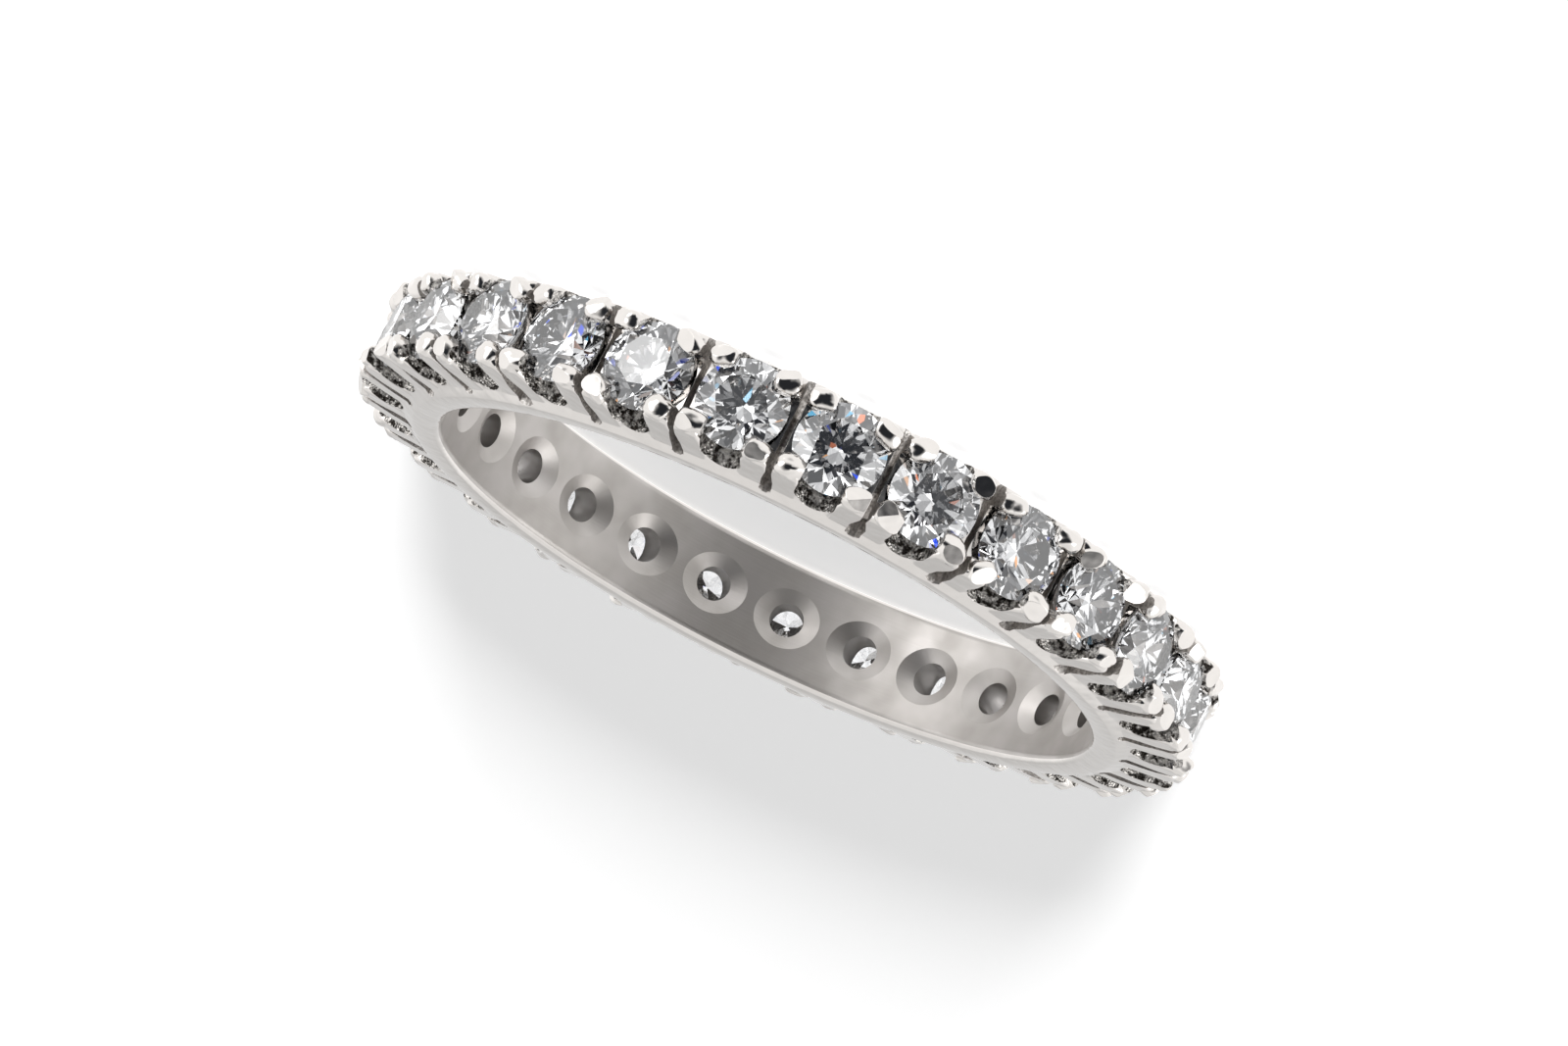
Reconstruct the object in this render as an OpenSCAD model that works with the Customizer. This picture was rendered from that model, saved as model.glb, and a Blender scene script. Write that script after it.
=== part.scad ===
// Full eternity ring: a cast claw-set band with round brilliant stones all the way round.
// The origin is the centre of the finger bore at mid-width, and +Z runs along the bore.

/* [Band] */
// Inside diameter, which sets the finger size
finger_d = 17; // [15:0.5:21]
// Width of the band, measured along the finger
band_w = 2.88; // [2.7:0.02:3.4]
// Thickness of the plain rail, from the bore to the floors of the scallops
rail_t = 0.98; // [0.9:0.02:1.3]
// Height of the sloping shoulder between the rail's flat side and the bearing walls
shoulder_h = 0.24; // [0.16:0.02:0.28]
// Radius that rounds the two edges of the bore
bore_edge = 0.22; // [0.1:0.02:0.34]

/* [Stones] */
// Diameter of each stone at its girdle
stone_d = 2.15; // [1.9:0.05:2.4]
// Width of the flat table, from corner to corner
table_d = 1.24; // [0.9:0.02:1.4]
// Height of the upright girdle
girdle_h = 0.06; // [0.04:0.01:0.12]
// Slope of the crown's kite facets, in degrees
crown_angle = 34.5; // [30:0.5:38]
// Slope of the pavilion's main facets, in degrees
pavilion_angle = 40.75; // [38:0.25:43]
// Height of the girdles above the floors of the scallops
stone_lift = 0.87; // [0.8:0.01:1.1]
// Least gap between the girdles of neighbouring stones
stone_gap = 0.24; // [0.2:0.01:0.4]
// Free space between each stone and the metal that holds it
stone_play = 0.03; // [0.02:0.01:0.05]

/* [Claws] */
// Thickness of each claw
claw_d = 0.56; // [0.5:0.02:0.6]
// Diameter of the round tip of each claw
tip_d = 0.64; // [0.6:0.02:0.7]
// Height of the tips' centres above the girdles
tip_rise = 0.25; // [0.2:0.01:0.35]
// Reach of each tip over the edge of its stone
tip_hold = 0.12; // [0.08:0.01:0.18]
// Distance between the centres of two neighbouring tips, across the saw cut
tip_pair = 0.75; // [0.66:0.01:0.86]
// Set-back of the claws' feet from the side of the rail
foot_inset = 0.1; // [0.08:0.01:0.14]

/* [Cuts] */
// Width of the saw cut between two stones
slot_w = 0.2; // [0.14:0.02:0.26]
// Depth of the saw cuts below the floors of the scallops
slot_drop = 0.16; // [0.1:0.02:0.2]
// Width of the rounded scallop under each stone
scallop_w = 1; // [0.8:0.02:1.06]
// Height of the bearing walls above the floors of the scallops
wall_h = 0.74; // [0.6:0.02:0.8]
// Set-back of the bearing walls from the side of the rail, at their foot
wall_inset = 0.14; // [0.1:0.02:0.2]
// Slope of the bearing walls' outer sides, in degrees from upright
wall_slope = 15; // [8:1:18]

/* [Azure holes] */
// Diameter of the hole behind each stone
azure_d = 0.85; // [0.6:0.05:1]
// Diameter of the hole's countersunk mouth in the bore
azure_mouth_d = 1.5; // [1.2:0.05:1.7]
// Depth of the countersink
azure_mouth_h = 0.16; // [0.1:0.02:0.16]

/* [Hidden] */
$fn = 48;
// How far a cut runs past the metal that it goes through
clear = 0.5;
// Depth at which the claws' feet are buried in the rail
foot_depth = 0.22;
// How far below the floors of the scallops the bearing walls start
wall_drop = 0.04;
// Steps in each rounded edge of the bore
edge_steps = 4;

bore_r = finger_d / 2;
rail_r = bore_r + rail_t;
girdle_r = rail_r + stone_lift;
wall_r = rail_r + wall_h;
tip_r = girdle_r + tip_rise;
stone_r = stone_d / 2;
table_r = table_d / 2;

// As many stones as fit round the girdle circle
stone_n = floor(2 * PI * girdle_r / (stone_d + stone_gap));
pitch = 360 / stone_n;
// The first stone faces -Y
first_angle = -90;

// A claw's tip: across the band from the saw cut, then out to the stone's edge
tip_side = tip_r * tan(pitch / 2) - tip_pair / 2;
tip_axis = stone_r + tip_d / 2 - tip_hold;
tip_z = sqrt(pow(tip_axis, 2) - pow(tip_side, 2));

// A claw's foot: in the middle of the wall between scallop and saw cut
foot_r = rail_r - foot_depth;
foot_side = (scallop_w / 2 + foot_r * tan(pitch / 2) - slot_w / 2) / 2;
foot_z = band_w / 2 - foot_inset - claw_d / 2;

// Heights in a stone, from the middle of its girdle, and radii of its inner corners
lower_share = 0.24;
table_z = girdle_h / 2 + (stone_r - table_r) * tan(crown_angle);
culet_z = -girdle_h / 2 - stone_r * tan(pavilion_angle);
star_r = (table_r * cos(22.5) + stone_r) / 2;
star_z = table_z - (star_r * cos(22.5) - table_r) * tan(crown_angle);
lower_r = lower_share * stone_r;
lower_z = culet_z + lower_r * cos(22.5) * tan(pavilion_angle);
// Turn from each stone to the next about its own axis, as loose stones end up when they are set
stone_spin = 17;

function two_digits(i) = str(i < 10 ? "0" : "", i);
function stone_name(i) = str("stone_", two_digits(i));
STONES = [for (i = [1:stone_n]) stone_name(i)];

// A point on a level circle, with the angle in sixteenths of a turn
function on_circle(r, sixteenth, z) = [r * cos(22.5 * sixteenth), r * sin(22.5 * sixteenth), z];

// Puts children on the spoke of stone i, with +Z pointing outwards and +Y along the band
module on_spoke(i, r) {
    rotate([0, 0, first_angle + (i - 1) * pitch])
        translate([r, 0, 0])
            rotate([0, 90, 0])
                children();
}

// Half of the band's section from the bore outwards, as points of radius and height
function rounded_edge() = [
    for (k = [0:edge_steps])
        let (a = 90 * k / edge_steps)
        [bore_r + bore_edge * (1 - cos(a)), band_w / 2 - bore_edge * (1 - sin(a))]
];
function half_section() = let (
    wall_foot_r = rail_r - wall_drop,
    wall_foot_z = band_w / 2 - wall_inset,
    wall_top_z = wall_foot_z - (wall_r - wall_foot_r) * tan(wall_slope)
) concat(rounded_edge(), [
    [wall_foot_r - shoulder_h, band_w / 2],
    [wall_foot_r, wall_foot_z],
    [wall_r, wall_top_z]
]);
function mirrored(points) = [for (k = [len(points) - 1:-1:0]) [points[k][0], -points[k][1]]];

// The turned blank: rails, rounded bore edges and the bearing walls before they are cut
module blank() {
    rotate_extrude() polygon(concat(half_section(), mirrored(half_section())));
}

// One claw: a round post from its foot in the rail to its bead over the stone
module claw() {
    foot = [-foot_z, foot_side, foot_r - girdle_r];
    tip = [-tip_z, tip_side, tip_rise];
    run = tip - foot;
    claw_h = norm(run);
    lean = acos(run[2] / claw_h);
    turn = atan2(run[1], run[0]);
    translate(foot)
        rotate([0, lean, turn])
            rotate_extrude() {
                square([claw_d / 2, claw_h]);
                intersection() {
                    translate([0, claw_h]) circle(d = tip_d);
                    translate([0, claw_h - tip_d]) square([tip_d, 2 * tip_d]);
                }
            }
}

// The four claws round one stone
module claws() {
    for (side = [0, 1], end = [0, 1])
        mirror([side, 0, 0]) mirror([0, end, 0]) claw();
}

// The room of a stone and the azure hole behind it, as one turned cut from the bore outwards.
// The room is the stone's own outline, larger by the play all round and open above the table.
module stone_room() {
    r = stone_r + stone_play;
    azure_r = azure_d / 2;
    mouth_r = azure_mouth_d / 2;
    mouth_z = bore_r - girdle_r;
    mouth_widen = (mouth_r - azure_r) / azure_mouth_h;
    cone_foot_z = -girdle_h / 2 - stone_play;
    rotate_extrude() polygon([
        [0, mouth_z - clear],
        [mouth_r + clear * mouth_widen, mouth_z - clear],
        [azure_r, mouth_z + azure_mouth_h],
        [azure_r, cone_foot_z - (r - azure_r) * tan(pavilion_angle)],
        [r, cone_foot_z],
        [r, girdle_h / 2 + stone_play],
        [table_r, table_z + stone_play],
        [table_r, table_z + clear],
        [0, table_z + clear]
    ]);
}

// The scallop under a stone: a round-bottomed channel from side to side of the band
module scallop() {
    rotate([90, 0, 90])
        linear_extrude(band_w + 2 * clear, center = true) {
            translate([0, scallop_w / 2 - stone_lift]) circle(d = scallop_w);
            translate([-scallop_w / 2, scallop_w / 2 - stone_lift]) square([scallop_w, stone_lift + clear]);
        }
}

// The saw cut between a stone and the next one, from the claws' tips down to the rail
module saw_cut() {
    floor_z = -stone_lift - slot_drop;
    cut_h = tip_rise + tip_d - floor_z;
    translate([0, 0, floor_z + cut_h / 2]) cube([band_w + 2 * clear, slot_w, cut_h], center = true);
}

module band() {
    color("#dcdad7")
    difference() {
        union() {
            blank();
            for (i = [1:stone_n]) on_spoke(i, girdle_r) claws();
        }
        for (i = [1:stone_n]) {
            on_spoke(i, girdle_r) scallop();
            on_spoke(i, girdle_r) stone_room();
            on_spoke(i + 0.5, girdle_r) saw_cut();
        }
    }
}

// A round brilliant, worked out from its angles so that every facet is flat.
// Its corners go round in sixteenths: even ones lie on the kites and mains, odd ones between them.
module brilliant() {
    table = [for (k = [0:2:15]) on_circle(table_r, k, table_z)];
    star = [for (k = [1:2:15]) on_circle(star_r, k, star_z)];
    girdle_top = [for (k = [0:15]) on_circle(stone_r, k, girdle_h / 2)];
    girdle_foot = [for (k = [0:15]) on_circle(stone_r, k, -girdle_h / 2)];
    lower = [for (k = [1:2:15]) on_circle(lower_r, k, lower_z)];
    t = 0;
    s = 8;
    g = 16;
    f = 32;
    l = 48;
    culet = 56;
    facets = concat(
        [[for (k = [7:-1:0]) t + k]],
        [for (k = [0:7]) [t + k, t + (k + 1) % 8, s + k]],
        [for (k = [0:7]) [t + k, s + k, g + 2 * k, s + (k + 7) % 8]],
        [for (k = [0:7]) [s + k, g + 2 * k + 1, g + 2 * k]],
        [for (k = [0:7]) [s + k, g + (2 * k + 2) % 16, g + 2 * k + 1]],
        [for (k = [0:15]) [g + k, g + (k + 1) % 16, f + (k + 1) % 16, f + k]],
        [for (k = [0:7]) [l + k, f + 2 * k, f + 2 * k + 1]],
        [for (k = [0:7]) [l + k, f + 2 * k + 1, f + (2 * k + 2) % 16]],
        [for (k = [0:7]) [culet, l + (k + 7) % 8, f + 2 * k, l + k]]
    );
    polyhedron(concat(table, star, girdle_top, girdle_foot, lower, [[0, 0, culet_z]]), facets);
}

module stone(i) {
    color("#eef2f6")
        on_spoke(i, girdle_r)
            rotate([0, 0, stone_spin * i])
                brilliant();
}

band();
for (i = [1:stone_n])
    stone(i);
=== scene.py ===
import math
import random

import bmesh
import bpy
from mathutils import Matrix, Vector, noise


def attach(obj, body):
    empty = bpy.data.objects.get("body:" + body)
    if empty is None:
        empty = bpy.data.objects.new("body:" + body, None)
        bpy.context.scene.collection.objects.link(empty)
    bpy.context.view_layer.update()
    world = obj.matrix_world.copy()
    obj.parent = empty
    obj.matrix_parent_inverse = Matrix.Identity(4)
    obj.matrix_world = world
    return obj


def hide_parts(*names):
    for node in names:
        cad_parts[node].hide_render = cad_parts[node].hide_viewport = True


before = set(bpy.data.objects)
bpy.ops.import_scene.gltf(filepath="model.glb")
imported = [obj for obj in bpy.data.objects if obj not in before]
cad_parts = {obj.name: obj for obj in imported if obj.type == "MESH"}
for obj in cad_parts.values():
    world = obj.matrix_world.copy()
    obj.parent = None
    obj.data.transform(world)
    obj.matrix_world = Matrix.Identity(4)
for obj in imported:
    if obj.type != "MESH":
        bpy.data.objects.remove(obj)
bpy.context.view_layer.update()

# The ring is made in millimetres, because its cuts are finer than Blender's tools work in metres,
# and each finished piece is brought to metres at the end.
MM = 0.001

# Sizes of the cast band in millimetres, as in the solid model
STONES = 27
BORE_R = 8.5
BAND_W = 2.88
BORE_EDGE = 0.22
RAIL_R = 9.48
SHOULDER_FOOT_R = 9.2
SHOULDER_TOP_R, SHOULDER_TOP_Z = 9.44, 1.3
WALL_R, WALL_TOP_Z = 10.22, 1.091
SCALLOP_W = 1.0
SAW_FLOOR_R = 9.32
AZURE_R, AZURE_MOUTH_R, AZURE_MOUTH_H = 0.425, 0.75, 0.16
CLAW_FOOT = Vector((9.26, 0.743, 1.06))

# Sizes of the stones in millimetres, as in the solid model. The long facets under the girdle meet at
# LOWER_SHARE of the stone's radius.
GIRDLE_R = 10.35
STONE_R, TABLE_R, GIRDLE_H = 1.075, 0.62, 0.06
CROWN_SLOPE, PAVILION_SLOPE = math.radians(34.5), math.radians(40.75)
LOWER_SHARE = 0.24
STONE_PLAY = 0.03
TABLE_Z = GIRDLE_H / 2 + (STONE_R - TABLE_R) * math.tan(CROWN_SLOPE)
CULET_Z = -GIRDLE_H / 2 - STONE_R * math.tan(PAVILION_SLOPE)

# What the hand finishing changes, in millimetres: where the tips come to lie once they are burnished,
# how much further in the claws of one side lean, and how far the wheel crowns the flat sides
CLAW_TIP = Vector((10.58, 0.864, 0.915))
PRESSED = 0.09
CROWN_H = 0.02

# How far a cutting shape runs past the metal that it goes through, and where it ends beyond the tips
CLEAR = 0.5
SCALLOP_TOP_R = GIRDLE_R + 1.1
CUT_TOP_R = 11.4

FIRST_SPOKE = -math.pi / 2
HALF_PITCH = math.pi / STONES

# Steps round the blank, 16 to each stone, and round a drilled or burred cut
BLANK_STEPS = STONES * 16
CUT_STEPS = 64

# Seeds of the random draws: the sets of claws, the saw cuts, and which of them or which turn a spoke gets
CLAW_SEED, CUT_SEED = 40, 70
CLAW_SPOKES, CUT_SPOKES, STONE_SPOKES = 3, 5, 11

# Sockets that go by number, because a node has several of the same name
FACTOR, COLOUR_A, COLOUR_B, MIXED = 0, 6, 7, 2
FROM_MIN, FROM_MAX, TO_MIN, TO_MAX = 1, 2, 3, 4
LEAST_WHOLE, MOST_WHOLE, WHOLE = 4, 5, 2


def colour(hex_code):
    """Turns an sRGB hex value into the linear colour that the shaders take."""
    values = [int(hex_code[k:k + 2], 16) / 255 for k in (1, 3, 5)]
    return tuple(v / 12.92 if v <= 0.04045 else ((v + 0.055) / 1.055) ** 2.4 for v in values) + (1.0,)


def add(tree, kind, sockets=None, **settings):
    """Adds one node with its settings.
    Each socket gets a plain value, or a link where the value is another node's output."""
    node = tree.nodes.new(kind)
    for name, value in settings.items():
        setattr(node, name, value)
    for socket, value in (sockets or {}).items():
        if isinstance(value, bpy.types.NodeSocket):
            tree.links.new(value, node.inputs[socket])
        else:
            node.inputs[socket].default_value = value
    return node


# ---------------------------------------------------------------- materials
# A pattern's scale is in repeats per metre, so 2500 is one every 0.4 mm.


def new_material(name):
    material = bpy.data.materials.new(name)
    material.use_nodes = True
    material.node_tree.nodes.clear()
    return material, material.node_tree


def finish_material(tree, shader):
    add(tree, "ShaderNodeOutputMaterial", {"Surface": shader.outputs[0]})


def polished_white_gold():
    """18 carat white gold, cast, then polished on a buffing wheel and rhodium plated.
    The plating gives a bright, slightly warm mirror, with faint hairlines and soft swells from the wheel."""
    material, tree = new_material("White gold, polished and rhodium plated")
    place = add(tree, "ShaderNodeTexCoord").outputs["Object"]
    # Edges are broken to about 0.02 mm by the wheel.
    worn = add(tree, "ShaderNodeBevel", {"Radius": 0.02 * MM}, samples=4).outputs[0]
    # The buffed surface swells softly over about 0.4 mm.
    swell = add(tree, "ShaderNodeTexNoise", {"Vector": place, "Scale": 2500.0, "Detail": 1.0}).outputs[0]
    # Buffing hairlines are about 0.01 mm apart; they are drawn at 0.04 mm so that they show.
    hair = add(tree, "ShaderNodeTexNoise", {"Vector": place, "Scale": 24000.0, "Detail": 2.0}).outputs[0]
    rough = add(tree, "ShaderNodeMapRange", {
        "Value": swell, FROM_MIN: 0.3, FROM_MAX: 0.7, TO_MIN: 0.05, TO_MAX: 0.12}).outputs[0]
    soft = add(tree, "ShaderNodeBump", {
        "Height": swell, "Strength": 1.0, "Distance": 0.018 * MM, "Normal": worn}).outputs[0]
    lined = add(tree, "ShaderNodeBump", {
        "Height": hair, "Strength": 0.3, "Distance": 0.001 * MM, "Normal": soft}).outputs[0]
    tint = add(tree, "ShaderNodeMix", {
        FACTOR: swell, COLOUR_A: colour("#DCD8D4"), COLOUR_B: colour("#D2CECA")},
        data_type="RGBA").outputs[MIXED]
    finish_material(tree, add(tree, "ShaderNodeBsdfPrincipled", {
        "Base Color": tint, "Metallic": 1.0, "Roughness": rough, "Normal": lined}))
    return material


def satin_white_gold_painted_shade():
    """The same gold inside the bore, where it is only tumbled, not buffed.
    Its colour is painted much darker than the polish's, as painted shade for the shaded inside of the bore;
    its fine scratches also spread its reflections."""
    material, tree = new_material("White gold, satin, with painted shade")
    place = add(tree, "ShaderNodeTexCoord").outputs["Object"]
    # Tumbling leaves clouds of about 1 mm.
    cloud = add(tree, "ShaderNodeTexNoise", {"Vector": place, "Scale": 900.0, "Detail": 2.0}).outputs[0]
    # The bore stick leaves scratches that run round the bore, drawn 0.06 mm apart so that they show.
    round_bore = add(tree, "ShaderNodeMapping", {"Vector": place, "Scale": (0.06, 0.06, 1.0)}).outputs[0]
    scratch = add(tree, "ShaderNodeTexNoise", {
        "Vector": round_bore, "Scale": 16000.0, "Detail": 3.0}).outputs[0]
    patch = add(tree, "ShaderNodeMapRange", {"Value": cloud, FROM_MIN: 0.35, FROM_MAX: 0.65}).outputs[0]
    # Both tints are far darker than the polish's: painted shade for the bore. The clouds vary them at
    # random.
    tint = add(tree, "ShaderNodeMix", {
        FACTOR: patch, COLOUR_A: colour("#A8A4A0"), COLOUR_B: colour("#B7B3B0")},
        data_type="RGBA").outputs[MIXED]
    rough = add(tree, "ShaderNodeMapRange", {"Value": patch, TO_MIN: 0.5, TO_MAX: 0.42}).outputs[0]
    lines = add(tree, "ShaderNodeBump", {
        "Height": scratch, "Strength": 0.7, "Distance": 0.004 * MM}).outputs[0]
    finish_material(tree, add(tree, "ShaderNodeBsdfPrincipled", {
        "Base Color": tint, "Metallic": 1.0, "Roughness": rough, "Normal": lines}))
    return material


def cast_white_gold_painted_shade():
    """The same gold as it left the mould, in the pockets that no wheel reaches.
    The grain of the investment leaves a pitted skin, and dark blotches are painted on it as painted shade in
    the pockets."""
    material, tree = new_material("White gold, as cast, with painted shade")
    place = add(tree, "ShaderNodeTexCoord").outputs["Object"]
    # The mould's grit is about 0.05 mm across, and the painted shade lies in blotches of about 0.15 mm.
    grit = add(tree, "ShaderNodeTexVoronoi", {"Vector": place, "Scale": 18000.0}).outputs["Distance"]
    shade_blotch = add(tree, "ShaderNodeTexNoise", {
        "Vector": place, "Scale": 7000.0, "Detail": 3.0, "Roughness": 0.6}).outputs[0]
    clear_of_shade = add(tree, "ShaderNodeMapRange", {"Value": shade_blotch, FROM_MIN: 0.42, FROM_MAX: 0.6}).outputs[0]
    # The near-black colour is painted shade for the pockets under the stones; between its blotches the metal
    # keeps its own light colour.
    tint = add(tree, "ShaderNodeMix", {
        FACTOR: clear_of_shade, COLOUR_A: colour("#37332F"), COLOUR_B: colour("#E6E2DD")},
        data_type="RGBA").outputs[MIXED]
    rough = add(tree, "ShaderNodeMapRange", {"Value": grit, TO_MIN: 0.55, TO_MAX: 0.3}).outputs[0]
    pits = add(tree, "ShaderNodeBump", {
        "Height": grit, "Strength": 1.0, "Distance": 0.025 * MM}).outputs[0]
    finish_material(tree, add(tree, "ShaderNodeBsdfPrincipled", {
        "Base Color": tint, "Metallic": 1.0, "Roughness": rough, "Normal": pits}))
    return material


def sawn_white_gold():
    """The same gold where the piercing saw and the setter's burr have cut it.
    Their close marks cross each other and leave it greyer and rougher than the polish."""
    material, tree = new_material("White gold, sawn and burr cut")
    place = add(tree, "ShaderNodeTexCoord").outputs["Object"]
    # Saw teeth and burr leave marks about 0.07 mm apart.
    marks = add(tree, "ShaderNodeTexNoise", {"Vector": place, "Scale": 14000.0, "Detail": 4.0}).outputs[0]
    spread = add(tree, "ShaderNodeMapRange", {"Value": marks, FROM_MIN: 0.35, FROM_MAX: 0.65}).outputs[0]
    tint = add(tree, "ShaderNodeMix", {
        FACTOR: spread, COLOUR_A: colour("#A19C98"), COLOUR_B: colour("#E0DCD8")},
        data_type="RGBA").outputs[MIXED]
    rough = add(tree, "ShaderNodeMapRange", {"Value": spread, TO_MIN: 0.6, TO_MAX: 0.35}).outputs[0]
    cuts = add(tree, "ShaderNodeBump", {
        "Height": marks, "Strength": 0.6, "Distance": 0.02 * MM}).outputs[0]
    finish_material(tree, add(tree, "ShaderNodeBsdfPrincipled", {
        "Base Color": tint, "Metallic": 1.0, "Roughness": rough, "Normal": cuts}))
    return material


def cut_stone():
    """Colourless diamond, sawn, ground and polished on a lap.
    Its facets are flat mirrors, and its high index throws the light back through the table."""
    material, tree = new_material("Diamond, brilliant cut and polished")
    place = add(tree, "ShaderNodeTexCoord").outputs["Object"]
    # Growth inside a stone leaves a barely seen change of tint over about 1 mm.
    growth = add(tree, "ShaderNodeTexNoise", {"Vector": place, "Scale": 900.0}).outputs[0]
    tint = add(tree, "ShaderNodeMix", {
        FACTOR: growth, COLOUR_A: colour("#FFFFFF"), COLOUR_B: colour("#FBFCFF")},
        data_type="RGBA").outputs[MIXED]
    finish_material(tree, add(tree, "ShaderNodeBsdfPrincipled", {
        "Base Color": tint, "Roughness": 0.0, "IOR": 2.42, "Transmission Weight": 1.0}))
    return material


def opal_sheet():
    """Opal acrylic sheet, cast and matted, lit from beneath as a jeweller's light table is.
    Its own glow thins the shadows, so the ground stays nearly white right up to the ring."""
    material, tree = new_material("Acrylic, opal and matted")
    place = add(tree, "ShaderNodeTexCoord").outputs["Object"]
    # The matting is about 0.3 mm across.
    matting = add(tree, "ShaderNodeTexNoise", {
        "Vector": place, "Scale": 3300.0, "Detail": 2.0}).outputs[0]
    tint = add(tree, "ShaderNodeMix", {
        FACTOR: matting, COLOUR_A: colour("#F6F6F6"), COLOUR_B: colour("#FAFAFA")},
        data_type="RGBA").outputs[MIXED]
    finish_material(tree, add(tree, "ShaderNodeBsdfPrincipled", {
        "Base Color": tint, "Roughness": 0.9, "IOR": 1.49, "Emission Color": colour("#FFFFFF"),
        "Emission Strength": 0.39}))
    return material


POLISHED = polished_white_gold()
SATIN_AND_PAINTED_SHADE = satin_white_gold_painted_shade()
AS_CAST_AND_PAINTED_SHADE = cast_white_gold_painted_shade()
SAWN = sawn_white_gold()
DIAMOND = cut_stone()
OPAL = opal_sheet()


# ---------------------------------------------------------------- shaping


def solid(name, points, faces):
    """A closed shape from its corners and faces, with all faces turned outwards."""
    mesh = bpy.data.meshes.new(name)
    mesh.from_pydata([tuple(p) for p in points], [], faces)
    shaped = bmesh.new()
    shaped.from_mesh(mesh)
    bmesh.ops.recalc_face_normals(shaped, faces=shaped.faces)
    shaped.to_mesh(mesh)
    shaped.free()
    return bpy.data.objects.new(name, mesh)


def turn(name, section, steps, closed=False):
    """Turns a section of (radius, height) points about Z. A radius of 0 is a pole."""
    points, rows = [], []
    for radius, height in section:
        count = steps if radius > 0 else 1
        rows.append(range(len(points), len(points) + count))
        for k in range(count):
            a = 2 * math.pi * k / steps
            points.append((radius * math.cos(a), radius * math.sin(a), height))
    faces = []
    for row, above in list(zip(rows, rows[1:])) + ([(rows[-1], rows[0])] if closed else []):
        for k in range(steps):
            ring = [row[k % len(row)], row[(k + 1) % steps % len(row)],
                    above[(k + 1) % steps % len(above)], above[k % len(above)]]
            corners = list(dict.fromkeys(ring))
            if len(corners) > 2:
                faces.append(corners)
    return solid(name, points, faces)


def loft(name, rows):
    """Joins rows of points into a closed solid, with a flat cap on the first and the last row."""
    n = len(rows[0])
    points = [p for row in rows for p in row]
    faces = [tuple(range(n)), tuple(range(len(points) - n, len(points)))]
    for j in range(len(rows) - 1):
        for k in range(n):
            a, b = j * n + k, j * n + (k + 1) % n
            faces.append((a, b, b + n, a + n))
    return solid(name, points, faces)


def merge(name, shapes):
    """Makes one object of several shapes that don't touch each other."""
    whole = bmesh.new()
    for shape in shapes:
        whole.from_mesh(shape.data)
    mesh = bpy.data.meshes.new(name)
    whole.to_mesh(mesh)
    whole.free()
    return bpy.data.objects.new(name, mesh)


def grind(shape, normal, distance):
    """Grinds one flat facet on a solid that is being shaped, as a lap or a file does."""
    geometry = shape.verts[:] + shape.edges[:] + shape.faces[:]
    # A corner within 0.02 micrometres of the lap counts as on it.
    bmesh.ops.bisect_plane(shape, geom=geometry, dist=2e-5, plane_co=normal * distance, plane_no=normal,
                           clear_outer=True)
    rim = [edge for edge in shape.edges if edge.is_boundary]
    if rim:
        bmesh.ops.edgeloop_fill(shape, edges=rim)


def ground_object(name, shape):
    """The ground solid as an object, with its corners and faces in a fixed order.
    Grinding leaves them in an order that changes from run to run."""
    corners = sorted(shape.verts, key=lambda corner: tuple(corner.co))
    place = {corner: k for k, corner in enumerate(corners)}
    faces = []
    for face in shape.faces:
        ring = [place[corner] for corner in face.verts]
        first = ring.index(min(ring))
        faces.append(ring[first:] + ring[:first])
    mesh = bpy.data.meshes.new(name)
    mesh.from_pydata([tuple(corner.co) for corner in corners], [], sorted(faces))
    shape.free()
    return bpy.data.objects.new(name, mesh)


def plain_mesh(obj):
    """The object's mesh with its modifiers carried out."""
    graph = bpy.context.evaluated_depsgraph_get()
    return bpy.data.meshes.new_from_object(obj.evaluated_get(graph), preserve_all_data_layers=True,
                                           depsgraph=graph)


def lay_on_spoke(obj, radius):
    """Lays a shape that was turned about Z along +X, so that its +Z points outwards from the ring."""
    obj.data.transform(Matrix(((0, 0, 1, radius), (0, 1, 0, 0), (-1, 0, 0, 0), (0, 0, 0, 1))))
    return obj


# ---------------------------------------------------------------- repeating a shape round the ring


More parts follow.
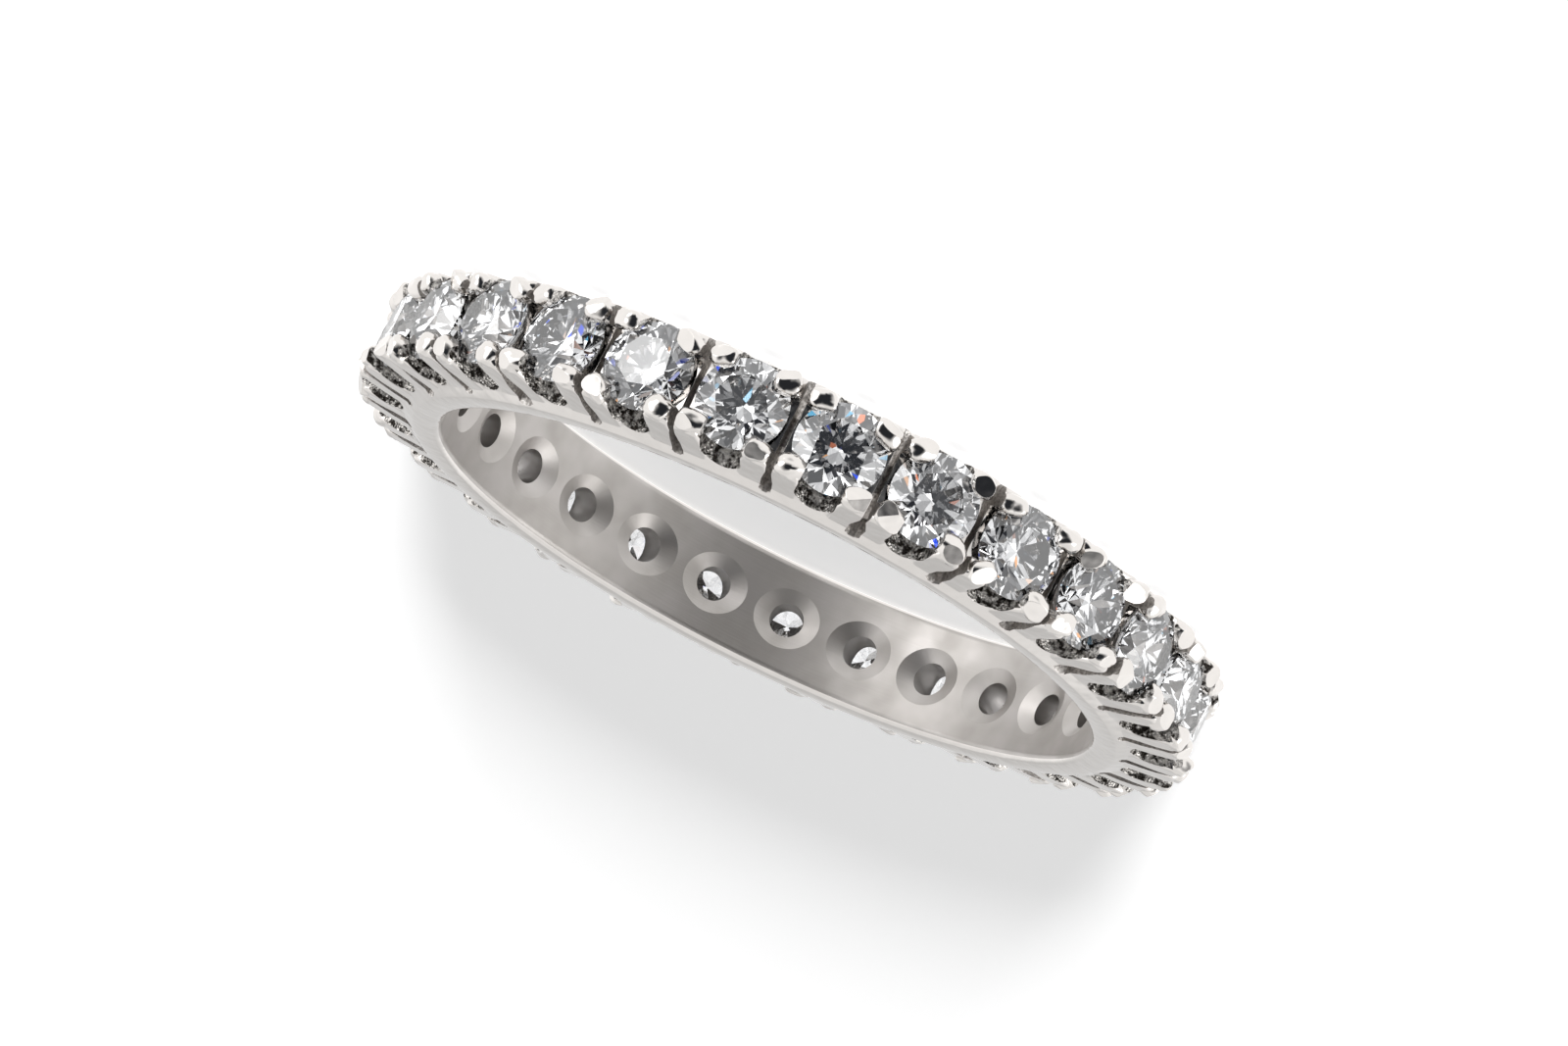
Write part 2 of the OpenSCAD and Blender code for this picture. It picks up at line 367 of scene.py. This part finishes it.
def round_the_ring_tree():
    """Stands copies of the patterns on the spokes of the ring, each picked and turned by the seed."""
    tree = bpy.data.node_groups.new("Round the ring", "GeometryNodeTree")
    sockets = tree.interface
    sockets.new_socket("Geometry", in_out="INPUT", socket_type="NodeSocketGeometry")
    for name, kind in (("Patterns", "Collection"), ("Count", "Int"), ("First spoke", "Float"),
                       ("Radius", "Float"), ("Largest turn", "Vector"), ("Seed", "Int"),
                       ("Finish", "Material")):
        sockets.new_socket(name, in_out="INPUT", socket_type="NodeSocket" + kind)
    sockets.new_socket("Geometry", in_out="OUTPUT", socket_type="NodeSocketGeometry")

    given = add(tree, "NodeGroupInput").outputs
    index = add(tree, "GeometryNodeInputIndex").outputs[0]
    pitch = add(tree, "ShaderNodeMath", {0: 2 * math.pi, 1: given["Count"]},
                operation="DIVIDE").outputs[0]
    angle = add(tree, "ShaderNodeMath", {0: index, 1: pitch, 2: given["First spoke"]},
                operation="MULTIPLY_ADD").outputs[0]
    spoke = add(tree, "ShaderNodeCombineXYZ", {"Z": angle}).outputs[0]
    outwards = add(tree, "ShaderNodeVectorRotate", {"Vector": (1, 0, 0), "Rotation": spoke},
                   rotation_type="EULER_XYZ").outputs[0]
    place = add(tree, "ShaderNodeVectorMath", {0: outwards, "Scale": given["Radius"]},
                operation="SCALE").outputs[0]
    points = add(tree, "GeometryNodePoints", {"Count": given["Count"], "Position": place}).outputs[0]
    patterns = add(tree, "GeometryNodeCollectionInfo", {
        "Collection": given["Patterns"], "Separate Children": True, "Reset Children": True}).outputs[0]
    # The pick is any large whole number, because it starts again after the last pattern.
    pick = add(tree, "FunctionNodeRandomValue", {
        LEAST_WHOLE: 0, MOST_WHOLE: 1000, "Seed": given["Seed"]}, data_type="INT").outputs[WHOLE]
    other_way = add(tree, "ShaderNodeVectorMath", {0: given["Largest turn"], "Scale": -1.0},
                    operation="SCALE").outputs[0]
    turned = add(tree, "FunctionNodeRandomValue", {
        0: other_way, 1: given["Largest turn"], "Seed": given["Seed"]},
        data_type="FLOAT_VECTOR").outputs[0]
    stand = add(tree, "FunctionNodeRotateRotation", {"Rotation": spoke, "Rotate By": turned},
                rotation_space="LOCAL").outputs[0]
    copies = add(tree, "GeometryNodeInstanceOnPoints", {
        "Points": points, "Instance": patterns, "Pick Instance": True, "Instance Index": pick,
        "Rotation": stand}).outputs[0]
    real = add(tree, "GeometryNodeRealizeInstances", {"Geometry": copies}).outputs[0]
    finished = add(tree, "GeometryNodeSetMaterial", {
        "Geometry": real, "Material": given["Finish"]}).outputs[0]
    add(tree, "NodeGroupOutput", {"Geometry": finished})
    return tree


RING_TREE = round_the_ring_tree()


def round_the_ring(name, patterns, finish, first_spoke=FIRST_SPOKE, radius=0.0,
                   largest_turn=(0, 0, 0), seed=1):
    """One plain mesh of the patterns repeated on every spoke."""
    group = bpy.data.collections.new(name + " patterns")
    for pattern in patterns:
        group.objects.link(pattern)
    obj = bpy.data.objects.new(name, bpy.data.meshes.new(name))
    bpy.context.scene.collection.objects.link(obj)
    modifier = obj.modifiers.new("Round the ring", "NODES")
    modifier.node_group = RING_TREE
    identifiers = {s.name: s.identifier for s in RING_TREE.interface.items_tree if s.in_out == "INPUT"}
    for socket, value in (("Patterns", group), ("Count", STONES), ("First spoke", first_spoke),
                          ("Radius", radius), ("Largest turn", largest_turn), ("Seed", seed),
                          ("Finish", finish)):
        modifier[identifiers[socket]] = value
    mesh = plain_mesh(obj)
    obj.modifiers.clear()
    obj.data = mesh
    bpy.data.collections.remove(group)
    return obj


# ---------------------------------------------------------------- the cast band


def blank():
    """The turned blank: rounded bore edges, flat sides, sloping shoulders and the stones' walls."""
    edge_r, edge_z = BORE_R + BORE_EDGE, BAND_W / 2 - CROWN_H
    side_w = SHOULDER_FOOT_R - edge_r
    edge_steps, side_steps = 8, 6
    half = []
    for k in range(edge_steps):
        a = math.pi / 2 * k / edge_steps
        half.append((edge_r - BORE_EDGE * math.cos(a), edge_z - (BORE_EDGE - CROWN_H) * (1 - math.sin(a))))
    for k in range(side_steps + 1):
        share = k / side_steps
        half.append((edge_r + side_w * share, BAND_W / 2 - CROWN_H * (1 - 2 * share) ** 2))
    half += [(SHOULDER_TOP_R, SHOULDER_TOP_Z), (WALL_R, WALL_TOP_Z)]
    section = half + [(radius, -height) for radius, height in reversed(half)]
    ring = turn("cast_band", section, BLANK_STEPS, closed=True)
    ring.data.materials.append(POLISHED)
    ring.data.materials.append(SATIN_AND_PAINTED_SHADE)
    # The satin, with its painted shade, runs a little way up the bore's rounded edges, to where the wheel
    # begins.
    satin_to_r = BORE_R + 0.05
    for face in ring.data.polygons:
        face.material_index = int(face.center.xy.length < satin_to_r)
    return ring


def claw_frame(rng, side, end):
    """The foot, tip and three directions of a claw: to its side, out over the band's edge, and up."""
    foot = Vector((CLAW_FOOT.x, CLAW_FOOT.y * side, CLAW_FOOT.z * end))
    pressed = PRESSED if end < 0 else 0.0
    tip = Vector((CLAW_TIP.x + rng.uniform(-0.03, 0.02),
                  (CLAW_TIP.y + rng.uniform(-0.03, 0.02)) * side,
                  (CLAW_TIP.z - pressed + rng.uniform(-0.03, 0.02)) * end))
    up = (tip - foot).normalized()
    out = Vector((0, 0, end))
    out = (out - up * out.dot(up)).normalized()
    return foot, tip, out.cross(up), out, up


def claw_post(rng, foot, tip, across, out, up):
    """A claw's post: filed nearly square, and so wide at its foot that the scallop and the saw trim it."""
    foot_w, tip_w, depth = 0.42, rng.uniform(0.31, 0.35), rng.uniform(0.25, 0.27)
    # The post narrows from just past its middle, and ends in a low dome that the bead covers.
    narrow_from, dome_foot, dome_h, dome_steps = 0.55, 0.12, 0.26, 6
    # An exponent of 1 makes the post round, and 0 makes it square.
    around, squareness = 40, 0.32
    length = (tip - foot).length
    section = [(0.0, foot_w, depth), (narrow_from * length, foot_w, depth),
               (length - dome_foot, tip_w, depth)]
    for k in range(1, dome_steps):
        a = math.pi / 2 * k / dome_steps
        section.append((length - dome_foot + dome_h * math.sin(a), tip_w * math.cos(a),
                        depth * math.cos(a)))
    rows = []
    for height, half_w, half_d in section:
        row = []
        for k in range(around):
            t = 2 * math.pi * k / around
            x = math.copysign(abs(math.cos(t)) ** squareness, math.cos(t)) * half_w
            y = math.copysign(abs(math.sin(t)) ** squareness, math.sin(t)) * half_d
            row.append(foot + up * height + across * x + out * y)
        rows.append(row)
    return loft("claw post", rows)


def claw_bead(rng, foot, tip, across, out, up):
    """A claw's tip: pushed over the stone and burnished to a bead, with the wheel's flats on it."""
    bead = bmesh.new()
    bmesh.ops.create_uvsphere(bead, u_segments=32, v_segments=18, radius=1)
    size = Vector((rng.uniform(0.33, 0.42), rng.uniform(0.25, 0.3), rng.uniform(0.26, 0.31)))
    turned, leaned = rng.uniform(-0.5, 0.5), rng.uniform(-0.25, 0.25)
    lean = Matrix.Rotation(turned, 3, "Z") @ Matrix.Rotation(leaned, 3, "Y")
    # The burnisher leaves shallow dents, about as wide as half the bead.
    dents, dent_depth, dent_scale = Vector((rng.uniform(-50, 50), 0, 0)), 0.16, 1.3
    # A power of 2 makes the bead an ellipsoid, and a higher one makes it squarer.
    plump = rng.uniform(2.2, 2.8)
    towards_stone = Vector((-rng.uniform(0.02, 0.08) * math.copysign(1, across.y * foot.y),
                            -rng.uniform(0.0, 0.06), 0))
    for vertex in bead.verts:
        flatten = sum(abs(a) ** plump for a in vertex.co) ** (-1 / plump)
        flatten *= 1 + dent_depth * noise.noise(vertex.co * dent_scale + dents)
        vertex.co = lean @ Vector(a * b * flatten for a, b in zip(vertex.co, size)) + towards_stone
    # Most beads have a flat on their outer side, and some have one on top. Each has its chance, how far
    # it may face to the side, and how far it faces out over the band's edge.
    for chance, sideways, outwards in ((0.7, 0.35, (0.3, 0.95)), (0.35, 0.4, (-0.35, 0.1))):
        if rng.random() < chance:
            facing = Vector((rng.uniform(-sideways, sideways), rng.uniform(*outwards), 1.0)).normalized()
            grind(bead, facing, rng.uniform(0.2, 0.25))
    basis = Matrix((across, out, up)).transposed()
    for vertex in bead.verts:
        vertex.co = tip + basis @ vertex.co
    return ground_object("claw bead", bead)


def claw_sets(count):
    """Several hand-finished sets of four claws, posts and beads apart."""
    posts, beads = [], []
    for j in range(count):
        rng = random.Random(CLAW_SEED + j)
        frames = [claw_frame(rng, side, end) for side in (-1, 1) for end in (-1, 1)]
        posts.append(merge("claw posts", [claw_post(rng, *f) for f in frames]))
        beads.append(merge("claw beads", [claw_bead(rng, *f) for f in frames]))
    return posts, beads


def azure_hole():
    """The drilled and countersunk hole behind a stone. It ends inside the stone's seat."""
    mouth_z, end_z = BORE_R - GIRDLE_R, -0.6
    widen = (AZURE_MOUTH_R - AZURE_R) / AZURE_MOUTH_H
    section = [(0, mouth_z - CLEAR), (AZURE_MOUTH_R + widen * CLEAR, mouth_z - CLEAR),
               (AZURE_R, mouth_z + AZURE_MOUTH_H), (AZURE_R, end_z), (0, end_z)]
    return lay_on_spoke(turn("azure hole", section, CUT_STEPS), GIRDLE_R)


def stone_seat():
    """The seat that the setter's burr cuts: the stone's outline with its play, open above the table."""
    radius = STONE_R + STONE_PLAY
    foot_z = -GIRDLE_H / 2 - STONE_PLAY
    section = [(0, foot_z - radius * math.tan(PAVILION_SLOPE)), (radius, foot_z), (radius, -foot_z),
               (TABLE_R, TABLE_Z + STONE_PLAY), (TABLE_R, TABLE_Z + CLEAR), (0, TABLE_Z + CLEAR)]
    return lay_on_spoke(turn("stone seat", section, CUT_STEPS), GIRDLE_R)


def scallop():
    """The round-bottomed channel under a stone, from side to side of the band."""
    half, steps = SCALLOP_W / 2, 20
    outline = []
    for k in range(steps + 1):
        a = math.pi * k / steps
        outline.append((RAIL_R + half - half * math.sin(a), half * math.cos(a)))
    outline += [(SCALLOP_TOP_R, -half), (SCALLOP_TOP_R, half)]
    return loft("scallop", [[(x, y, z) for x, y in outline] for z in (-BAND_W, BAND_W)])


def saw_cut(rng):
    """A cut of the piercing saw between two stones, opened with a file at both sides of the band.
    It is narrow between the tips, wide and deep where it is opened, and shallow between the stones,
    and it never runs quite straight."""
    # Between its floor and its open top, its sides turn at two more radii: half-way up, and at the tips.
    middle_r, tips_r = 9.8, 10.3
    # Its floor has its corners cut off, its sides waver, and it flares out past the tips.
    floor_share, floor_edge, waver, flare = 0.4, 0.06, 0.01, 0.08
    # The file opens it from 0.5 mm off the middle, is at full width at 1 mm, and goes deeper there too.
    open_from, open_over, deepen = 0.5, 0.5, 0.6
    # The saw stops 0.4 mm short in the middle of the band, and is at full depth at 0.85 mm from it.
    short, short_to, short_over = 0.4, 0.85, 0.5
    # The cut leans about this radius, and runs half as far again past each side of the band.
    lean_r, side_steps, end_steps = 10, 8, 12
    rows = []
    tilt = rng.uniform(-0.03, 0.03)
    opened = (rng.uniform(0.06, 0.13), rng.uniform(0.06, 0.13))
    for k in range(-end_steps, end_steps + 1):
        z = BAND_W / 2 * k / side_steps
        wide = opened[k > 0] * min(1.0, max(0.0, (abs(z) - open_from) / open_over))
        floor = SAW_FLOOR_R + rng.uniform(-0.02, 0.02) - deepen * wide
        floor += short * min(1.0, max(0.0, (short_to - abs(z)) / short_over))
        left, right = (rng.uniform(0.08, 0.1) + wide for side in (0, 1))
        top_left, top_right = (rng.uniform(0.055, 0.085) for side in (0, 1))
        profile = [(floor + floor_edge, -left), (floor, -floor_share * left), (floor, floor_share * right),
                   (floor + floor_edge, right), (middle_r, right + rng.uniform(-waver, waver)),
                   (tips_r, top_right), (CUT_TOP_R, top_right + flare),
                   (CUT_TOP_R, -top_left - flare), (tips_r, -top_left),
                   (middle_r, -left + rng.uniform(-waver, waver))]
        rows.append([(x, y + tilt * (x - lean_r), z) for x, y in profile])
    return loft("saw cut", rows)


def cast_band():
    """The whole casting: the blank and the claws as one, cut as it is cut at the bench.
    Seven sets of claws and six saw cuts are enough that no repeat shows."""
    ring = blank()
    bpy.context.scene.collection.objects.link(ring)
    posts, beads = claw_sets(7)
    cuts = [saw_cut(random.Random(CUT_SEED + j)) for j in range(6)]
    tools = (
        (round_the_ring("claw posts", posts, POLISHED, seed=CLAW_SPOKES), "UNION"),
        (round_the_ring("claw beads", beads, POLISHED, seed=CLAW_SPOKES), "UNION"),
        (round_the_ring("azure holes", [azure_hole()], SATIN_AND_PAINTED_SHADE), "DIFFERENCE"),
        (round_the_ring("scallops", [scallop()], AS_CAST_AND_PAINTED_SHADE), "DIFFERENCE"),
        (round_the_ring("stone seats", [stone_seat()], SAWN), "DIFFERENCE"),
        (round_the_ring("saw cuts", cuts, SAWN, first_spoke=FIRST_SPOKE + HALF_PITCH,
                        seed=CUT_SPOKES), "DIFFERENCE"),
    )
    for tool, operation in tools:
        modifier = ring.modifiers.new(tool.name, "BOOLEAN")
        modifier.solver = "MANIFOLD"
        modifier.operation = operation
        modifier.material_mode = "TRANSFER"
        modifier.object = tool
    mesh = plain_mesh(ring)
    ring.modifiers.clear()
    ring.data = mesh
    for tool, _ in tools:
        bpy.data.objects.remove(tool)
    drop_swarf(ring)
    smooth_between_edges(ring, degrees=19)
    return ring


def drop_swarf(obj):
    """Takes away the slivers that the cuts leave loose, so that one whole casting is left."""
    whole = bmesh.new()
    whole.from_mesh(obj.data)
    unseen, casting, swarf = set(whole.verts), [], []
    while unseen:
        part = [unseen.pop()]
        for vertex in part:
            for edge in vertex.link_edges:
                other = edge.other_vert(vertex)
                if other in unseen:
                    unseen.remove(other)
                    part.append(other)
        casting, loose = (part, casting) if len(part) > len(casting) else (casting, part)
        swarf += loose
    bmesh.ops.delete(whole, geom=swarf, context="VERTS")
    whole.to_mesh(obj.data)
    whole.free()


def smooth_between_edges(obj, degrees):
    """Shades a shape smoothly up to its edges, with each flat keeping its own direction."""
    for face in obj.data.polygons:
        face.use_smooth = True
    obj.data.set_sharp_from_angle(angle=math.radians(degrees))
    modifier = obj.modifiers.new("Flats first", "WEIGHTED_NORMAL")
    modifier.keep_sharp = True
    mesh = plain_mesh(obj)
    obj.modifiers.clear()
    obj.data = mesh


# ---------------------------------------------------------------- the stones


def facet(shape, corners):
    """Grinds the facet through three corners, with its outer side away from the stone's middle."""
    normal = (corners[1] - corners[0]).cross(corners[2] - corners[0]).normalized()
    distance = normal.dot(corners[0])
    if distance < 0:
        normal, distance = -normal, -distance
    grind(shape, normal, distance)


def on_stone(radius, sixteenths, height):
    a = math.radians(22.5 * sixteenths)
    return Vector((radius * math.cos(a), radius * math.sin(a), height))


def brilliant():
    """A round brilliant, ground facet by facet from a round blank, so that its girdle is scalloped
    as a real one is. Its corners go round in sixteenths of a turn."""
    half_facet = math.cos(math.radians(22.5))
    star_r = (TABLE_R * half_facet + STONE_R) / 2
    star_z = TABLE_Z - (star_r * half_facet - TABLE_R) * math.tan(CROWN_SLOPE)
    lower_r = LOWER_SHARE * STONE_R
    lower_z = CULET_Z + lower_r * half_facet * math.tan(PAVILION_SLOPE)
    top, foot, rough_h = GIRDLE_H / 2, -GIRDLE_H / 2, 3
    stone = bmesh.new()
    bmesh.ops.create_cone(stone, cap_ends=True, segments=CUT_STEPS, radius1=STONE_R, radius2=STONE_R,
                          depth=rough_h)
    grind(stone, Vector((0, 0, 1)), TABLE_Z)
    for k in range(0, 16, 2):
        middle, tip = on_stone(1, k, 0), on_stone(star_r, k + 1, star_z)
        kite = middle * math.sin(CROWN_SLOPE) + Vector((0, 0, math.cos(CROWN_SLOPE)))
        grind(stone, kite.normalized(), STONE_R * math.sin(CROWN_SLOPE) + top * math.cos(CROWN_SLOPE))
        facet(stone, [on_stone(TABLE_R, k, TABLE_Z), on_stone(TABLE_R, k + 2, TABLE_Z), tip])
        facet(stone, [tip, on_stone(STONE_R, k, top), on_stone(STONE_R, k + 1, top)])
        facet(stone, [tip, on_stone(STONE_R, k + 1, top), on_stone(STONE_R, k + 2, top)])
        deep = on_stone(lower_r, k + 1, lower_z)
        facet(stone, [deep, on_stone(STONE_R, k, foot), on_stone(STONE_R, k + 1, foot)])
        facet(stone, [deep, on_stone(STONE_R, k + 1, foot), on_stone(STONE_R, k + 2, foot)])
        main = middle * math.sin(PAVILION_SLOPE) - Vector((0, 0, math.cos(PAVILION_SLOPE)))
        grind(stone, main.normalized(),
              STONE_R * math.sin(PAVILION_SLOPE) - foot * math.cos(PAVILION_SLOPE))
    # The stone lies on its spoke with its middle at the origin, so that a copy can be turned about itself.
    return lay_on_spoke(ground_object("brilliant", stone), 0)


# ---------------------------------------------------------------- making the ring


def to_metres(obj):
    obj.data.transform(Matrix.Scale(MM, 4))


band = cast_band()
to_metres(band)
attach(band, "root")
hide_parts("band")

# Each stone is set however it happens to be turned, and none sits quite level.
stones = round_the_ring("brilliants", [brilliant()], DIAMOND, radius=GIRDLE_R,
                        largest_turn=(math.pi, 0.02, 0.02), seed=STONE_SPOKES)
to_metres(stones)
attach(stones, "root")
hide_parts(*["stone_%02d" % k for k in range(1, STONES + 1)])


# ---------------------------------------------------------------- floor, camera and light


def light_table():
    """The white sheet that the ring lies on. The ring mirrors the tent beneath it, not the sheet."""
    mesh = bpy.data.meshes.new("light_table")
    reach, height = 2.0, -BAND_W / 2 * MM
    mesh.from_pydata([(-reach, -reach, height), (reach, -reach, height), (reach, reach, height),
                      (-reach, reach, height)], [], [(0, 1, 2, 3)])
    mesh.materials.append(OPAL)
    sheet = bpy.data.objects.new("light_table", mesh)
    sheet.visible_glossy = sheet.visible_transmission = False
    bpy.context.scene.collection.objects.link(sheet)


def camera():
    """The photograph's view of the ring: from 12.5 degrees above the band's plane, rolled right over."""
    # The view is fitted to the ring's edges and stones. Angles are in radians and the distance in metres,
    # and the focal length and the shift are in pixels of a picture 1600 wide.
    picture_w, sensor_w = 1600, 36
    rise, roll, turned = 0.2182, 3.6039, Matrix.Rotation(math.radians(0.868), 3, "Z")
    distance, focal, shift_x, shift_y = 0.1809, 7837.0, -4.7, 14.0
    eye = turned @ Vector((0, -distance * math.cos(rise), distance * math.sin(rise)))
    level, steep = turned @ Vector((1, 0, 0)), turned @ Vector((0, math.sin(rise), math.cos(rise)))
    right = math.cos(roll) * level + math.sin(roll) * steep
    up = math.cos(roll) * steep - math.sin(roll) * level
    lens = bpy.data.cameras.new("camera")
    lens.sensor_width = sensor_w
    lens.lens = sensor_w * focal / picture_w
    lens.shift_x, lens.shift_y = shift_x / picture_w, shift_y / picture_w
    lens.clip_start, lens.clip_end = 0.01, 20
    holder = bpy.data.objects.new("camera", lens)
    bpy.context.scene.collection.objects.link(holder)
    facing = Matrix((right, up, right.cross(up))).transposed().to_4x4()
    holder.matrix_world = Matrix.Translation(eye) @ facing
    bpy.context.scene.camera = holder
    return eye


def lamp(name, rise, round_degrees, spread, strength):
    """A far soft lamp that lights the sheet and casts the ring's shadow on it. Metal and stones don't
    mirror it. Its height, direction and breadth are in degrees."""
    light = bpy.data.lights.new(name, "SUN")
    light.angle, light.energy = math.radians(spread), strength
    holder = bpy.data.objects.new(name, light)
    holder.rotation_euler = (math.radians(90 - rise), 0, math.radians(round_degrees))
    holder.visible_glossy = holder.visible_transmission = False
    bpy.context.scene.collection.objects.link(holder)


def white_room(eye):
    """A white tent all round with two soft boxes in it, and the dark room seen where it is open for the
    camera. Light that has passed through a stone is also split into colours, as the stone's fire."""
    world = bpy.data.worlds.new("white tent")
    world.use_nodes = True
    tree = world.node_tree
    tree.nodes.clear()
    way = add(tree, "ShaderNodeTexCoord").outputs["Generated"]

    def patch(centre, inner, outer, amount):
        """A round patch of the tent: the amount within the inner angle, and nothing past the outer one."""
        towards = add(tree, "ShaderNodeVectorMath", {0: way, 1: Vector(centre).normalized()},
                      operation="DOT_PRODUCT").outputs["Value"]
        return add(tree, "ShaderNodeMapRange", {
            "Value": towards, FROM_MIN: math.cos(math.radians(outer)),
            FROM_MAX: math.cos(math.radians(inner)), TO_MAX: amount},
            interpolation_type="SMOOTHSTEP").outputs[0]

    # The roof and the back are a little dimmer than the tent, and the two boxes much brighter.
    tent_strength = 1.3
    roof = patch((0.0, 0.3, 1.0), inner=20, outer=60, amount=0.3)
    back = patch((0.0, 1.0, 0.2), inner=4, outer=36, amount=0.55)
    near_box = patch((0.84, -0.55, -0.05), inner=16, outer=26, amount=2.4)
    far_box = patch((-0.93, -0.3, 0.3), inner=11, outer=22, amount=2.4)
    opening = patch(eye, inner=24, outer=58, amount=1.0)
    strength = add(tree, "ShaderNodeMath", {0: tent_strength, 1: roof}, operation="SUBTRACT").outputs[0]
    for operation, amount in (("SUBTRACT", back), ("ADD", near_box), ("ADD", far_box)):
        strength = add(tree, "ShaderNodeMath", {0: strength, 1: amount}, operation=operation).outputs[0]
    tent = add(tree, "ShaderNodeMix", {
        FACTOR: opening, COLOUR_A: colour("#FFFFFF"), COLOUR_B: colour("#282A2E")},
        data_type="RGBA").outputs[MIXED]
    # One tenth of the tent's cells send coloured light through the stones, each in a soft spot.
    sparks = add(tree, "ShaderNodeTexVoronoi", {"Vector": way, "Scale": 7.0})
    pick = add(tree, "ShaderNodeSeparateColor", {"Color": sparks.outputs["Color"]}).outputs
    lit = add(tree, "ShaderNodeMath", {0: pick["Red"], 1: 0.9}, operation="GREATER_THAN").outputs[0]
    soft = add(tree, "ShaderNodeMapRange", {
        "Value": sparks.outputs["Distance"], FROM_MIN: 0.4, FROM_MAX: 0.15}).outputs[0]
    spark = add(tree, "ShaderNodeMath", {0: lit, 1: soft}, operation="MULTIPLY").outputs[0]
    through = add(tree, "ShaderNodeLightPath").outputs["Is Transmission Ray"]
    split = add(tree, "ShaderNodeMath", {0: spark, 1: through}, operation="MULTIPLY").outputs[0]
    spectrum = add(tree, "ShaderNodeValToRGB", {"Fac": pick["Blue"]})
    stops = spectrum.color_ramp
    stops.interpolation = "CONSTANT"
    fire = ((0.0, "#2F5CFF"), (0.45, "#FFB061"), (0.7, "#74D2FF"), (0.93, "#FF9A70"))
    for k, (place, hex_code) in enumerate(fire):
        stop = stops.elements[k] if k < 2 else stops.elements.new(place)
        stop.position, stop.color = place, colour(hex_code)
    tint = add(tree, "ShaderNodeMix", {
        FACTOR: split, COLOUR_A: tent, COLOUR_B: spectrum.outputs["Color"]},
        data_type="RGBA").outputs[MIXED]
    light = add(tree, "ShaderNodeBackground", {"Color": tint, "Strength": strength})
    add(tree, "ShaderNodeOutputWorld", {"Surface": light.outputs[0]})
    # The tent is for the metal and the stones to mirror. The sheet is lit by its glow and the lamps.
    world.cycles_visibility.diffuse = False
    bpy.context.scene.world = world


light_table()
white_room(camera())
lamp("low lamp", rise=2.7, round_degrees=4, spread=6.0, strength=30.5)
lamp("overhead lamp", rise=75, round_degrees=0, spread=70, strength=0.9)
bpy.context.scene.view_settings.view_transform = "Standard"
